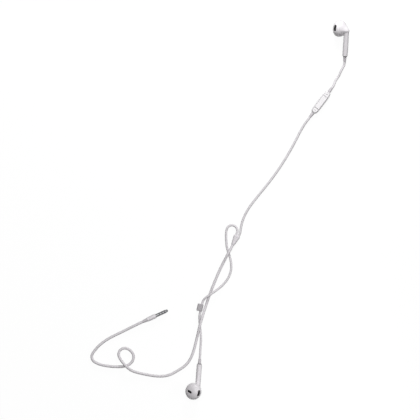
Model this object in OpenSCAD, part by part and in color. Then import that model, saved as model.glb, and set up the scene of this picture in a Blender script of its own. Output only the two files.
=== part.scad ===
// Wired earphones: two earbuds, an inline remote, a splitter, a cord slider and a 3.5 mm plug.
// They lie on a flat surface at z = 0. The origin is the middle of the two earbuds' footprint.

/* [Earbud head] */
// Radius of the head at its widest
head_r = 8.8; // [8.4:0.1:10.8]
// Depth of the face dome in front of the widest plane
face_depth = 6.2; // [6:0.1:8.4]
// Depth of the rear bowl behind the widest plane
bowl_depth = 7.6; // [7:0.1:9]
// Wall of the two head shells
shell_wall = 0.9; // [0.75:0.05:1]
// Distance of the shells' seam behind the widest plane
seam_depth = 3.4; // [3.2:0.1:3.6]
// Length of the sound opening along the head
nozzle_l = 6.8; // [5.5:0.1:7.5]
// Width of the sound opening
nozzle_w = 3.1; // [3:0.1:4]
// Length of the vent in the face
vent_l = 5.6; // [4:0.1:6]
// Width of the vent in the face
vent_w = 2.4; // [1.8:0.1:2.8]

/* [Earbud stem] */
// Radius of the stem
stem_r = 2.75; // [2.6:0.05:3.3]
// Wall of the stem
stem_wall = 0.75; // [0.6:0.05:0.8]
// Distance from the stem's axis to the head's widest plane
head_offset = 8.3; // [7.6:0.1:8.6]
// Height of the head's axis above the stem's end
head_height = 28.4; // [24:0.2:34]
// Length of the strain relief outside the stem
boot_l = 6; // [5:0.2:7.2]

/* [Remote] */
// Length of the remote
remote_l = 27.6; // [23:0.2:33.2]
// Width of the remote
remote_w = 7.6; // [6.2:0.1:8.2]
// Height of the remote
remote_h = 5; // [4.8:0.1:5.6]
// Travel of each button
button_travel = 0.3; // [0.15:0.05:0.3]
// Gap round and between the buttons
button_gap = 0.15; // [0.1:0.05:0.25]
// Length of the strain relief at each end
remote_boot_l = 5.5; // [4:0.1:6.6]

/* [Splitter and slider] */
// Length of the splitter
splitter_l = 11.8; // [10:0.2:14]
// Width of the splitter at its wide end
splitter_w = 7; // [6.6:0.1:8.4]
// Thickness of the splitter
splitter_h = 3.4; // [3.2:0.1:4]
// Length of the slider
slider_l = 7.6; // [6.4:0.1:8]
// Width of the slider
slider_w = 6.2; // [6.1:0.1:6.6]
// Thickness of the slider
slider_h = 4.2; // [3.8:0.1:4.6]
// Travel of the slider along its cord
slider_travel = 2.5; // [1:0.1:2.5]

/* [Plug] */
// Length of the plug's handle
handle_l = 10; // [8.4:0.1:12]
// Radius of the plug's handle
handle_r = 2.4; // [2.2:0.05:2.9]
// Length of the strain relief behind the handle
plug_boot_l = 5; // [4:0.1:6]

/* [Cords] */
// Radius of the main cord
main_r = 1.4; // [1.2:0.05:1.4]
// Radius of the branch cords
branch_r = 1.2; // [1:0.05:1.2]

/* [Hidden] */

$fn = 64;
eps = 0.02;          // smallest gap between two pieces that seat on each other
fit = 0.05;          // gap between two pieces that nest
through = 1;         // how far a cutting tool passes the face it cuts

white = [0.93, 0.92, 0.94];
pale_grey = [0.7, 0.69, 0.71];
grey_mesh = [0.12, 0.12, 0.12];
steel = [0.72, 0.72, 0.74];
copper = [0.72, 0.42, 0.22];
board_green = [0.1, 0.32, 0.2];
dark = [0.15, 0.15, 0.16];
film_cream = [0.85, 0.8, 0.65];

// ---- Where the pieces lie: plan position, then the angles that lay them down ----

// Plan position of the centre of each head's widest plane
right_head_xy = [75.8, 190.3];
left_head_xy = [-77.46, -190.3];
// Turn of each bud about its own stem, from face down and from face up
right_roll = 65;
left_roll = 31;
// Fall of the right stem's axis, from the raised head down to the end of its strain relief
right_drop = 9.05;
right_pitch = asin(right_drop / (head_height + boot_l));
// Turn of each stem in plan, away from the Y axis
right_yaw = -3.3;
left_yaw = -4.2;

remote_xy = [56.5, 112.7];
remote_turn = 52.9;

// The narrow end of the splitter lies on the main cord's rise over the left cord
splitter_xy = [-36.5, -37.5];
splitter_turn = -26.4;
splitter_tilt = 7;

slider_xy = [-69.7, -98.9];
slider_turn = 167.6;
slider_lift = 0.15;

plug_xy = [-116.9, -111.3];
plug_turn = 24.5;

// ---- Small helpers ----

module stadium(l, w) {
    square([w, l - w], center = true);
    for (end = [-1, 1]) translate([0, end * (l - w) / 2]) circle(d = w);
}

module rounded_rect(w, h, r) {
    square([w - 2 * r, h], center = true);
    square([w, h - 2 * r], center = true);
    for (x = [-1, 1], y = [-1, 1]) translate([x * (w / 2 - r), y * (h / 2 - r)]) circle(r);
}

module ring(outer_r, inner_r, h) {
    difference() {
        cylinder(r = outer_r, h = h);
        translate([0, 0, -through]) cylinder(r = inner_r, h = h + 2 * through);
    }
}

// Turns a solid that was made along Z so that it runs along X
module along_x() {
    rotate([0, 90, 0]) children();
}

// ---- Earbud, in its own frame ----
// Z runs up the stem from the stem's end, X from the stem's axis towards the face,
// and Y forwards, towards the sound opening. The left earbud is the mirror image in Y.

face_power = 2.3;          // how full the face dome is: 2 is an ellipse
dome_steps = 14;
bowl_steps = 6;
stem_bore_r = stem_r - stem_wall;
nozzle_shift = 1.7;        // sound opening's middle, in front of the widest plane
nozzle_tilt = 11;          // sound opening's turn towards the top of the head
vent_turn = 23;            // face vent's turn away from the forward direction
vent_place = [-1.1, 0.6];  // face vent's middle from the head's axis: forwards and up
mesh_recess = 0.35;        // meshes lie this far below the shell's surface
mesh_t = 0.4;

// Depths in the head, measured from the widest plane towards the face
lip_top = -2.8;            // the rear shell's lip, on which the driver sits
lip_wall = 0.8;
flange_t = 0.5;
gasket_t = 0.4;
rib_t = 0.7;
basket_depth = 1.4;        // the frame below its flange
yoke_depth = 2.2;
yoke_base = 0.7;
magnet_t = 1;
plate_t = 0.5;
board_t = 0.5;

flange_top = lip_top + flange_t;
gasket_top = flange_top + gasket_t;
yoke_top = lip_top - 0.1;
yoke_bottom = yoke_top - yoke_depth;
magnet_bottom = yoke_bottom + yoke_base;
board_bottom = yoke_bottom - board_t;

// Radii in the head
lip_r = bowl_r(seam_depth, shell_wall) - 0.1;
flange_r = lip_r - 0.1;
basket_r = lip_r - lip_wall - 0.1;
yoke_r = 4.4;
yoke_wall = 0.6;
magnet_r = 2.7;
plate_r = 2.85;
coil_r = 3.4;
coil_t = 0.3;

wire_r = 0.25;
wire_y = 0.3;
wire_turn_z = head_height - 2.5;
boot_bore_r = 0.8;
boot_r = 1.7;
boot_end_r = 1.45;
boot_neck_r = 1.2;
end_plug_h = 1.55;
end_flange_t = 0.6;        // dark flange that shows between the stem and its strain relief
end_flange_r = 2.25;
boot_head_h = 0.8;
boot_head_r = 1.6;

// Radius of the rear bowl at a depth behind the widest plane, inside a wall of the given inset
function bowl_r(depth, inset) = (head_r - inset) * sqrt(1 - pow(depth / (bowl_depth - inset), 2));

// Outline of the head in front of the seam, from the seam to the middle of the face
function front_curve(inset) = let (
    seam_angle = asin(seam_depth / (bowl_depth - inset))
) concat(
    [for (i = [0:bowl_steps - 1]) let (a = seam_angle * (1 - i / bowl_steps))
        [(head_r - inset) * cos(a), -(bowl_depth - inset) * sin(a)]],
    [for (i = [0:dome_steps]) let (a = 90 * i / dome_steps)
        [(head_r - inset) * pow(cos(a), 2 / face_power),
         (face_depth - inset) * pow(sin(a), 2 / face_power)]]
);

// Outline of the rear bowl, from its pole to a plane at the given depth
function rear_curve(inset, depth) = let (
    start = asin(depth / (bowl_depth - inset)),
    steps = dome_steps
) [for (i = [0:steps]) let (a = 90 - (90 - start) * i / steps)
    [(head_r - inset) * cos(a), -(bowl_depth - inset) * sin(a)]];

function backwards(list) = [for (i = [len(list) - 1:-1:0]) list[i]];

module in_head() {
    translate([head_offset, 0, head_height]) along_x() children();
}

// A disc or ring of the driver, between two depths
module driver_ring(outer_r, inner_r, from, to) {
    in_head() translate([0, 0, from]) ring(outer_r, inner_r, to - from);
}

module driver_disc(r, from, to) {
    in_head() translate([0, 0, from]) cylinder(r = r, h = to - from);
}

module front_layer(outer_inset, inner_inset) {
    in_head() rotate_extrude() polygon(concat(front_curve(outer_inset), backwards(front_curve(inner_inset))));
}

module nozzle_prism(gap) {
    translate([head_offset + nozzle_shift, 0, head_height]) rotate([-90 + nozzle_tilt, 0, 0])
        translate([0, 0, head_r / 2]) linear_extrude(head_r)
            stadium(nozzle_l - 2 * gap, nozzle_w - 2 * gap);
}

module vent_prism(gap) {
    translate([head_offset, vent_place[0], head_height + vent_place[1]]) rotate([0, 90, 0])
        rotate([0, 0, vent_turn]) translate([0, 0, face_depth / 2]) linear_extrude(face_depth)
            stadium(vent_l - 2 * gap, vent_w - 2 * gap);
}

module front_shell() {
    color(white) difference() {
        union() {
            front_layer(0, shell_wall);
            driver_ring(bowl_r(-gasket_top, shell_wall / 2), lip_r - lip_wall + fit,
                gasket_top, gasket_top + rib_t);
        }
        nozzle_prism(0);
        vent_prism(0);
    }
}

module rear_shell() {
    color(white) union() {
        difference() {
            union() {
                in_head() rotate_extrude() polygon(concat(rear_curve(0, seam_depth), [[0, -seam_depth]]));
                cylinder(r = stem_r, h = head_height - 2);
                translate([0, 0, head_height - 2]) sphere(stem_r);
            }
            in_head() rotate_extrude()
                polygon(concat(rear_curve(shell_wall, seam_depth - through),
                    [[0, through - seam_depth]]));
            translate([0, 0, -through]) cylinder(r = stem_bore_r, h = head_height - 1.5 + through);
        }
        driver_ring(lip_r, lip_r - lip_wall, -seam_depth - 1, lip_top);
    }
}

module nozzle_mesh() {
    color(grey_mesh) intersection() {
        front_layer(mesh_recess, mesh_recess + mesh_t);
        nozzle_prism(eps);
    }
}

module face_vent_mesh() {
    color(grey_mesh) intersection() {
        front_layer(mesh_recess, mesh_recess + mesh_t);
        vent_prism(eps);
    }
}

module driver_gasket() {
    color(dark) driver_ring(flange_r, lip_r - lip_wall + fit, flange_top, gasket_top);
}

module driver_frame() {
    basket_floor = 0.6;
    basket_wall = 0.6;
    color(dark) difference() {
        union() {
            driver_disc(flange_r, lip_top, flange_top);
            driver_disc(basket_r, lip_top - basket_depth, lip_top);
        }
        driver_disc(basket_r - basket_wall, lip_top - basket_depth + basket_floor, flange_top + through);
        driver_disc(yoke_r + fit, lip_top - basket_depth - through, flange_top + through);
    }
}

module diaphragm() {
    film = 0.1;
    rim_r = basket_r - fit;
    dome = 0.8;
    shoulder = [coil_r * 0.6, dome * 0.7];
    surround = [(coil_r + rim_r) / 2, dome / 2];
    lower_face = [[0, dome], shoulder, [coil_r, 0], surround, [rim_r, 0]];
    color(film_cream) in_head() translate([0, 0, flange_top]) rotate_extrude()
        polygon(concat(lower_face, backwards([for (point = lower_face) point + [0, film]])));
}

module voice_coil() {
    color(copper) driver_ring(coil_r, coil_r - coil_t, magnet_bottom + magnet_t, flange_top);
}

module driver_yoke() {
    color(steel) difference() {
        driver_disc(yoke_r, yoke_bottom, yoke_top);
        driver_disc(yoke_r - yoke_wall, magnet_bottom, yoke_top + through);
    }
}

module magnet() {
    color(steel) driver_disc(magnet_r, magnet_bottom, magnet_bottom + magnet_t);
}

module pole_plate() {
    color(steel) driver_disc(plate_r, magnet_bottom + magnet_t, magnet_bottom + magnet_t + plate_t);
}

module terminal_board() {
    board_l = 7;
    board_w = 3;
    color(board_green) in_head() translate([0, 0, board_bottom]) linear_extrude(board_t)
        rounded_rect(board_l, board_w, 0.4);
}

module hookup_wires() {
    color(copper) for (side = [-1, 1]) translate([0, side * wire_y, 0]) {
        translate([0, 0, -boot_l]) cylinder(r = wire_r, h = boot_l + wire_turn_z, $fn = 24);
        translate([-wire_r, 0, wire_turn_z]) along_x()
            cylinder(r = wire_r, h = head_offset + board_bottom + wire_r, $fn = 24);
    }
}

module cable_anchor() {
    crimp_r = 1.3;
    crimp_l = 2;
    color(steel) translate([0, 0, end_plug_h + boot_head_h + fit])
        ring(crimp_r, wire_y + wire_r + fit, crimp_l);
}

// Closes the stem round the cord; the notch in its edge is the bass vent
module stem_end_plug() {
    notch_w = 1.6;
    notch_depth = 0.25;
    color(grey_mesh) difference() {
        union() {
            translate([0, 0, -end_flange_t])
                ring(stem_bore_r - eps, boot_neck_r + fit, end_flange_t + end_plug_h);
            translate([0, 0, -end_flange_t]) ring(end_flange_r, boot_neck_r + fit, end_flange_t - eps);
        }
        translate([0, stem_bore_r, end_plug_h / 2])
            cube([notch_w, 2 * notch_depth, end_plug_h * 2], center = true);
    }
}

module strain_relief() {
    color(white) difference() {
        union() {
            translate([0, 0, -boot_l])
                cylinder(r1 = boot_end_r, r2 = boot_r, h = boot_l - end_flange_t - eps);
            translate([0, 0, -end_flange_t - fit])
                cylinder(r = boot_neck_r, h = end_flange_t + fit + end_plug_h);
            translate([0, 0, end_plug_h]) cylinder(r = boot_head_r, h = boot_head_h);
        }
        translate([0, 0, -boot_l - through])
            cylinder(r = boot_bore_r, h = boot_l + end_plug_h + boot_head_h + 2 * through);
    }
}

// ---- Laying the earbuds down ----

// A vector of a bud's own frame in the whole object's frame
function turned(v, roll, lean, yaw) = let (
    x = v[0] * cos(roll) - v[1] * sin(roll),
    y0 = v[0] * sin(roll) + v[1] * cos(roll),
    y = y0 * cos(lean) - v[2] * sin(lean),
    z = y0 * sin(lean) + v[2] * cos(lean)
) [x * cos(yaw) - y * sin(yaw), x * sin(yaw) + y * cos(yaw), z];

right_lean = right_pitch - 90;
left_lean = 90;
head_point = [head_offset, 0, head_height];

// How far the head reaches below its centre, for the rise of its face's axis and the side that is down
function head_reach(rise, depth, power) = let (dual = power / (power - 1))
    pow(pow(head_r * sqrt(1 - rise * rise), dual) + pow(depth * abs(rise), dual), 1 / dual);

// The right bud lies on its face; the left one lies on its stem, or on the back of its head
right_face_axis = turned([1, 0, 0], 90 + right_roll, right_lean, right_yaw);
right_head_z = head_reach(right_face_axis[2], face_depth, face_power);
left_head_z = max(head_offset * cos(left_roll) + stem_r, head_reach(cos(left_roll), bowl_depth, 2));
right_origin = [each right_head_xy, right_head_z]
    - turned(head_point, 90 + right_roll, right_lean, right_yaw);
left_origin = [each left_head_xy, left_head_z]
    - turned(head_point, 90 + left_roll, left_lean, left_yaw);

module at_right() {
    translate(right_origin) rotate([right_lean, 0, right_yaw]) rotate([0, 0, 90 + right_roll]) children();
}

module at_left() {
    translate(left_origin) rotate([left_lean, 0, left_yaw]) rotate([0, 0, 90 + left_roll])
        mirror([0, 1, 0]) children();
}

// ---- Remote, in its own frame: X along it towards the plus end, Z up from its underside ----

remote_power = 3.6;        // how square the remote's plan is: 2 is an ellipse
remote_edge = 1.9;         // rounding along its edges
remote_wall = 0.6;
remote_rim = 0.9;          // visible rim round the buttons
remote_split = remote_h / 2;
roof = 1.2;                // thickness of the front cover over the cavity
plate_drop = 0.3;          // a button's plate reaches this far below the cavity's roof
end_button_l = 5.2;        // from each groove between the buttons to the rim at the remote's end
groove_x = remote_l / 2 - remote_rim - end_button_l;
button_proud = 0.12;
crown_r = 8;
tab_h = 0.5;
tab_gap = 0.2;
plunger_r = 0.6;
dome_gap = 0.1;            // gap that is left under a pressed plunger
board_z = 1.5;
remote_board_t = 0.5;
dome_h = 0.55;
dome_r = 1.3;
body_half = remote_l / 2 - 2.5;   // inner works lie within this distance of the middle
remote_boot_r = 1.7;
remote_boot_end_r = 1.4;
remote_neck_r = 1.15;
collar_r = 1.6;
collar_x = body_half + 0.4;
collar_t = 0.7;
mic_x = -4;
mic_port_r = 0.5;
mark_depth = 0.12;
mark_w = 0.4;
mark_l = 1.7;
end_button_x = (groove_x + remote_l / 2 - remote_rim) / 2;
tab_top = remote_h - roof - fit;
tab_bottom = tab_top - tab_h;

function remote_plan(inset) = [for (i = [0:71]) let (a = 5 * i)
    [(remote_l / 2 - inset) * sign(cos(a)) * pow(abs(cos(a)), 2 / remote_power),
     (remote_w / 2 - inset) * sign(sin(a)) * pow(abs(sin(a)), 2 / remote_power)]];

module at_remote() {
    translate([each remote_xy, 0]) rotate([0, 0, remote_turn]) children();
}

module remote_body(inset, low, high) {
    intersection() {
        translate([0, 0, low]) linear_extrude(high - low) polygon(remote_plan(inset));
        translate([-remote_l, 0, remote_h / 2]) rotate([90, 0, 90]) linear_extrude(2 * remote_l)
            rounded_rect(remote_w - 2 * inset, remote_h - 2 * inset, remote_edge - inset);
    }
}

module remote_neck_holes() {
    translate([0, 0, remote_split]) along_x() translate([0, 0, -remote_l])
        cylinder(r = remote_neck_r + fit, h = 2 * remote_l);
}

module remote_back_cover() {
    post_h = board_z - remote_wall;
    post_r = 0.5;
    post_x = body_half - 1.8;
    post_y = 1.2;
    color(white) union() {
        difference() {
            remote_body(0, 0, remote_split);
            remote_body(remote_wall, 0, remote_split + through);
            remote_neck_holes();
            translate([mic_x, 0, -through]) cylinder(r = mic_port_r, h = remote_wall + 2 * through);
        }
        for (x = [-post_x, post_x], y = [-post_y, post_y])
            translate([x, y, remote_wall - fit]) cylinder(r = post_r, h = post_h + fit);
    }
}

module remote_front_cover() {
    color(white) difference() {
        remote_body(0, remote_split, remote_h);
        intersection() {
            remote_body(remote_wall, 0, remote_h);
            cube([2 * remote_l, 2 * remote_w, 2 * (remote_h - roof)], center = true);
        }
        translate([0, 0, remote_h - 2 * roof]) linear_extrude(3 * roof) polygon(remote_plan(remote_rim));
        remote_neck_holes();
    }
}

// The stretch of the buttons' outline between two cuts
module button_slice(inset, from, to, low, high) {
    translate([0, 0, low]) linear_extrude(high - low) intersection() {
        polygon(remote_plan(inset));
        translate([from, -remote_w]) square([to - from, 2 * remote_w]);
    }
}

module button(from, to, mark_x, bars) {
    plate_bottom = remote_h - roof + plate_drop;
    plate_top = remote_h + button_proud;
    body_from = max(from, -body_half);
    body_to = min(to, body_half);
    plunger_bottom = board_z + remote_board_t + dome_h + dome_gap + button_travel;
    color(white) difference() {
        union() {
            intersection() {
                button_slice(remote_rim + button_gap, from, to, plate_bottom, plate_top);
                translate([-remote_l, 0, plate_top - crown_r]) along_x()
                    cylinder(r = crown_r, h = 2 * remote_l);
            }
            button_slice(remote_rim + button_gap, body_from, body_to, tab_bottom, plate_bottom);
            button_slice(remote_wall + tab_gap, body_from, body_to, tab_bottom, tab_top);
            translate([(body_from + body_to) / 2, 0, plunger_bottom])
                cylinder(r = plunger_r, h = tab_bottom + fit - plunger_bottom);
        }
        for (turn = bars) translate([mark_x, 0, plate_top]) rotate([0, 0, turn])
            cube([mark_l, mark_w, 2 * mark_depth], center = true);
    }
}

module plus_button() {
    button(groove_x + button_gap, remote_l, end_button_x, [0, 90]);
}

module centre_button() {
    button(-groove_x + button_gap, groove_x - button_gap, 0, []);
}

module minus_button() {
    button(-remote_l, -groove_x - button_gap, -end_button_x, [90]);
}

module remote_circuit_board() {
    color(board_green) translate([0, 0, board_z]) linear_extrude(remote_board_t) intersection() {
        polygon(remote_plan(remote_wall + 0.3));
        square([2 * body_half, 2 * remote_w], center = true);
    }
}

module remote_dome_switches() {
    end_x = (groove_x + button_gap + body_half) / 2;
    color(steel) for (x = [-end_x, 0, end_x]) translate([x, 0, board_z + remote_board_t])
        cylinder(r1 = dome_r, r2 = dome_r * 0.7, h = dome_h);
}

module remote_microphone() {
    mic = [3.4, 2.4, 0.7];
    color(steel) translate([mic_x, 0, board_z - mic.z / 2]) cube(mic, center = true);
}

module remote_microphone_mesh() {
    port_recess = 0.15;
    color(grey_mesh) translate([mic_x, 0, port_recess])
        cylinder(r = mic_port_r - eps, h = remote_wall - port_recess);
}

module remote_strain_relief() {
    color(white) {
        translate([remote_l / 2 + eps, 0, remote_split]) along_x()
            cylinder(r1 = remote_boot_r, r2 = remote_boot_end_r, h = remote_boot_l);
        translate([collar_x, 0, remote_split]) along_x()
            cylinder(r = remote_neck_r, h = remote_l / 2 + fit - collar_x);
        intersection() {
            translate([collar_x, 0, remote_split]) along_x() cylinder(r = collar_r, h = collar_t);
            translate([0, -remote_w, remote_split - collar_r])
                cube([remote_l, 2 * remote_w, collar_r + remote_neck_r - fit]);
        }
    }
}

// ---- Splitter, in its own frame: Y from its narrow end to its wide end, Z up through it ----

splitter_end_w = 3.2;
splitter_corner = 1.5;
splitter_wall = 0.7;
branch_gap = 0.7;          // gap between the two branch cords where they leave
branch_x = branch_r + branch_gap / 2;

splitter_straight = splitter_l - splitter_corner;

module splitter_plan() {
    half = splitter_w / 2 - splitter_corner;
    polygon([
        [-splitter_end_w / 2, 0], [splitter_end_w / 2, 0],
        [splitter_w / 2, splitter_straight], [-splitter_w / 2, splitter_straight]
    ]);
    translate([-half, splitter_straight - eps]) square([2 * half, splitter_corner + eps]);
    for (x = [-half, half]) translate([x, splitter_straight]) circle(splitter_corner);
}

module splitter_cavity_plan() {
    narrow = splitter_end_w / 2 - splitter_wall;
    wide = splitter_w / 2 - splitter_wall;
    start = splitter_wall + 1;
    end = splitter_straight - splitter_wall;
    polygon([[-narrow, start], [narrow, start], [wide, end], [-wide, end]]);
}

module at_splitter() {
    translate([each splitter_xy, splitter_h / 2 * cos(splitter_tilt) + splitter_l * sin(splitter_tilt)])
        rotate([0, 0, splitter_turn]) rotate([-splitter_tilt, 0, 0]) children();
}

module splitter_half(side) {
    color(white) difference() {
        translate([0, 0, side > 0 ? 0 : -splitter_h / 2]) linear_extrude(splitter_h / 2) splitter_plan();
        translate([0, 0, splitter_wall - splitter_h / 2]) linear_extrude(splitter_h - 2 * splitter_wall)
            splitter_cavity_plan();
    }
}

// Joins the three cords' wires in the middle of the splitter
module splitter_crimp() {
    crimp_l = 4;
    crimp_w = 2.4;
    color(steel) translate([0, splitter_l * 0.55, 0])
        cube([crimp_w, crimp_l, splitter_h - 2 * splitter_wall - 2 * eps], center = true);
}

// ---- Slider, in its own frame: Y along its cord towards the earbud, Z up from its underside ----

slider_edge = 1.2;
slider_side_wall = 0.45;
slider_web = 0.35;         // wall between the bore and the channel
slider_bore_r = branch_r + 0.12;
slider_slot_r = branch_r + fit;
slider_mouth = 1.5 * branch_r;
// Closed bore, which always holds the left cord
slider_bore_x = slider_side_wall + slider_bore_r - slider_w / 2;
// Open channel, into which the right cord clips through a mouth that is narrower than the cord
slider_slot_x = slider_bore_x + slider_bore_r + slider_web + slider_slot_r;

module at_slider() {
    translate([each slider_xy, slider_lift]) rotate([0, 0, slider_turn]) children();
}

module cord_slider() {
    color(pale_grey) translate([0, slider_l, slider_h / 2]) rotate([90, 0, 0]) linear_extrude(slider_l)
        difference() {
            rounded_rect(slider_w, slider_h, slider_edge);
            translate([slider_bore_x, 0]) circle(slider_bore_r);
            translate([slider_slot_x, 0]) circle(slider_slot_r);
            translate([slider_slot_x, -slider_mouth / 2]) square([slider_w, slider_mouth]);
        }
}

// ---- Plug, in its own frame: Z from the handle's front face to the tip ----

contact_r = 1.75;
core_r = 0.6;
ring_bore_r = core_r + eps;
sleeve_l = 3.8;
insulator_l = 0.7;
contact_l = 2.3;
ring_2_z = sleeve_l + insulator_l;
ring_1_z = ring_2_z + contact_l + insulator_l;
tip_z = ring_1_z + contact_l + insulator_l;
plug_l = 14;
sleeve_root = 3;           // how deep the sleeve's thinner root sits in the handle
sleeve_root_r = 1.4;
sleeve_groove = 0.1;       // how far the root shows in front of the handle
handle_edge = 0.4;
boot_neck_l = 2;           // how deep the strain relief sits in the handle

module at_plug() {
    translate([each plug_xy, handle_r]) rotate([0, 0, plug_turn]) along_x() children();
}

module contact(from, l) {
    translate([0, 0, from]) ring(contact_r, ring_bore_r, l);
}

module plug_tip() {
    shoulder = tip_z + 0.8;
    color(steel) rotate_extrude() polygon([
        [0, tip_z], [contact_r, tip_z], [contact_r, shoulder], [1.28, shoulder + 0.8],
        [1.28, shoulder + 1], [1.6, shoulder + 1.5], [1.3, plug_l - 0.7], [0.55, plug_l - 0.1], [0, plug_l]
    ]);
}

module plug_ring_1() {
    color(steel) contact(ring_1_z, contact_l);
}

module plug_ring_2() {
    color(steel) contact(ring_2_z, contact_l);
}

module plug_sleeve() {
    color(steel) {
        contact(sleeve_groove, sleeve_l - sleeve_groove);
        translate([0, 0, -sleeve_root]) ring(sleeve_root_r, ring_bore_r, sleeve_root + sleeve_groove);
    }
}

module plug_insulators() {
    color(white) for (z = [ring_2_z, ring_1_z, tip_z]) contact(z - insulator_l, insulator_l);
}

module plug_centre_pin() {
    pin_root = handle_l - boot_neck_l - 0.5;
    color(steel) translate([0, 0, -pin_root]) cylinder(r = core_r, h = tip_z + pin_root);
}

module plug_handle() {
    color(white) difference() {
        rotate_extrude() polygon([
            [0, 0], [handle_r - handle_edge, 0], [handle_r - 0.1, -handle_edge], [handle_r, -handle_edge * 2],
            [handle_r, -handle_l * 0.7], [handle_r - 0.15, -handle_l + handle_edge],
            [handle_r - 0.3, -handle_l], [0, -handle_l]
        ]);
        translate([0, 0, -sleeve_root]) cylinder(r = sleeve_root_r + eps, h = sleeve_root + through);
        translate([0, 0, -handle_l - through]) cylinder(r = boot_neck_r + eps, h = handle_l);
    }
}

module plug_strain_relief() {
    color(white) {
        translate([0, 0, -handle_l - plug_boot_l])
            cylinder(r1 = main_r + 0.1, r2 = handle_r - 0.5, h = plug_boot_l);
        translate([0, 0, -handle_l]) cylinder(r = boot_neck_r, h = boot_neck_l);
    }
}

// ---- Cords ----
// Each route starts and ends with the point where the cord leaves its piece and a point straight
// out from it. The points between are where the cord lies: its middle, in millimetres.

cord_sides = 8;
lead = 2.5;                // straight stretch out of each piece
main_route = [
    [-154.5, -129.2, 1.4], [-166, -135, 1.4], [-176, -142.2, 1.4], [-182, -149, 1.4],
    [-184.2, -153.6, 1.4], [-182.8, -158.2, 1.4], [-179, -161, 1.4], [-171, -163.5, 1.4], [-161, -164.7, 1.4],
    [-150.5, -164.4, 1.4], [-144.8, -162.3, 1.4], [-141, -158, 1.4], [-140.5, -152.5, 1.4],
    [-144, -147.5, 1.4], [-149.5, -145.3, 1.4], [-154.2, -147.3, 1.4], [-155.9, -152, 1.9],
    [-154, -157, 3.2], [-150.8, -161.3, 4.4], [-147, -165.3, 4.7], [-142.5, -168.6, 3.6],
    [-136, -171, 2], [-126, -173.2, 1.4], [-114, -174.8, 1.4], [-103, -173.5, 1.4],
    [-93.5, -168.7, 1.4], [-85, -162.5, 1.4], [-79.3, -153.8, 1.4], [-76, -143.7, 1.4],
    [-73.6, -134, 1.7], [-72, -127, 3.4], [-70.6, -121, 4.2], [-68.4, -113.5, 3.6],
    [-65.8, -105.3, 1.9], [-62.6, -95.5, 1.4], [-58.4, -84, 1.4], [-53, -70.7, 1.4],
    [-47.5, -58.5, 1.5], [-43.8, -51.3, 3], [-41, -45.8, 4.15]
];
left_route = [
    [-31.3, -21.2, 1.2], [-33.2, -17.7, 1.2], [-37.2, -16.2, 1.2], [-41, -17.9, 1.2],
    [-42.8, -22.3, 1.2], [-43, -31, 1.2], [-42.1, -39.5, 1.2], [-39.8, -47.5, 1.2],
    [-37.8, -56, 1.2], [-38.2, -64.5, 1.2], [-41.3, -72.3, 1.2], [-46.5, -78.8, 1.7],
    [-53, -84.2, 3.6], [-58.8, -88.3, 4.55], [-61.8, -90.4, 4.4], [-64.8, -92.6, 3.6], [-66.8, -94.9, 2.7]
];
left_route_end = [
    [-71, -115.5, 1.4], [-70.4, -124, 1.2], [-69.5, -134, 1.2], [-70, -145, 1.4]
];
right_lower_route = [
    [-27.6, -19.5, 1.2], [-24.8, -9, 1.2], [-18.5, 2.8, 1.2], [-8.5, 15.8, 1.2], [2.5, 29.5, 1.2],
    [12.5, 43.2, 1.2], [21.5, 57.5, 1.2], [30.3, 73.3, 1.2], [38.8, 89, 1.7]
];
right_upper_route = [
    [71.3, 134.5, 1.6], [75.2, 140.5, 1.3], [78.2, 147, 2]
];

slider_cord_z = slider_lift + slider_h / 2;
slider_axis = [-sin(slider_turn), cos(slider_turn), 0];
slider_side = [cos(slider_turn), sin(slider_turn), 0];
slider_cord_point = [each slider_xy, slider_cord_z] + slider_bore_x * slider_side;
slider_margin = 0.5;         // how far the straight stretch passes the slider, at each end of its travel
slider_stretch = [
    slider_cord_point - slider_margin * slider_axis,
    slider_cord_point + (slider_l + slider_travel + slider_margin) * slider_axis
];

remote_axis = [cos(remote_turn), sin(remote_turn), 0];
remote_reach = remote_l / 2 + remote_boot_l + 2 * eps;
remote_middle = [each remote_xy, remote_split];
splitter_axis = [-sin(splitter_turn) * cos(splitter_tilt), cos(splitter_turn) * cos(splitter_tilt),
    -sin(splitter_tilt)];
splitter_side = [cos(splitter_turn), sin(splitter_turn), 0];
splitter_start = [each splitter_xy, splitter_h / 2 * cos(splitter_tilt) + splitter_l * sin(splitter_tilt)];
splitter_end = splitter_start + (splitter_l + eps) * splitter_axis;
plug_axis = [cos(plug_turn), sin(plug_turn), 0];
plug_back = [each plug_xy, handle_r] - (handle_l + plug_boot_l + eps) * plug_axis;
right_stem_axis = turned([0, 0, 1], 90 + right_roll, right_lean, right_yaw);
left_stem_axis = turned([0, 0, 1], 90 + left_roll, left_lean, left_yaw);

// A cord's end at a piece, and the point straight out from it
function way_out(point, direction) = [point, point + lead * direction];
function way_in(point, direction) = [point + lead * direction, point];

main_points = concat(
    way_out(plug_back, -plug_axis), main_route, way_in(splitter_start - eps * splitter_axis, -splitter_axis)
);
left_points = concat(
    way_out(splitter_end - branch_x * splitter_side, splitter_axis),
    left_route, slider_stretch, left_route_end,
    way_in(left_origin - (boot_l + eps) * left_stem_axis, -left_stem_axis)
);
right_lower_points = concat(
    way_out(splitter_end + branch_x * splitter_side, splitter_axis), right_lower_route,
    way_in(remote_middle - remote_reach * remote_axis, -remote_axis)
);
right_upper_points = concat(
    way_out(remote_middle + remote_reach * remote_axis, remote_axis), right_upper_route,
    way_in(right_origin - (boot_l + eps) * right_stem_axis, -right_stem_axis)
);

function unit(v) = v / norm(v);

// Direction of a route at one of its points
function heading(p, i) = let (last = len(p) - 1)
    i == 0 ? unit(p[1] - p[0])
    : i == last ? unit(p[last] - p[last - 1])
    : unit(unit(p[i] - p[i - 1]) + unit(p[i + 1] - p[i]));

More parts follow.
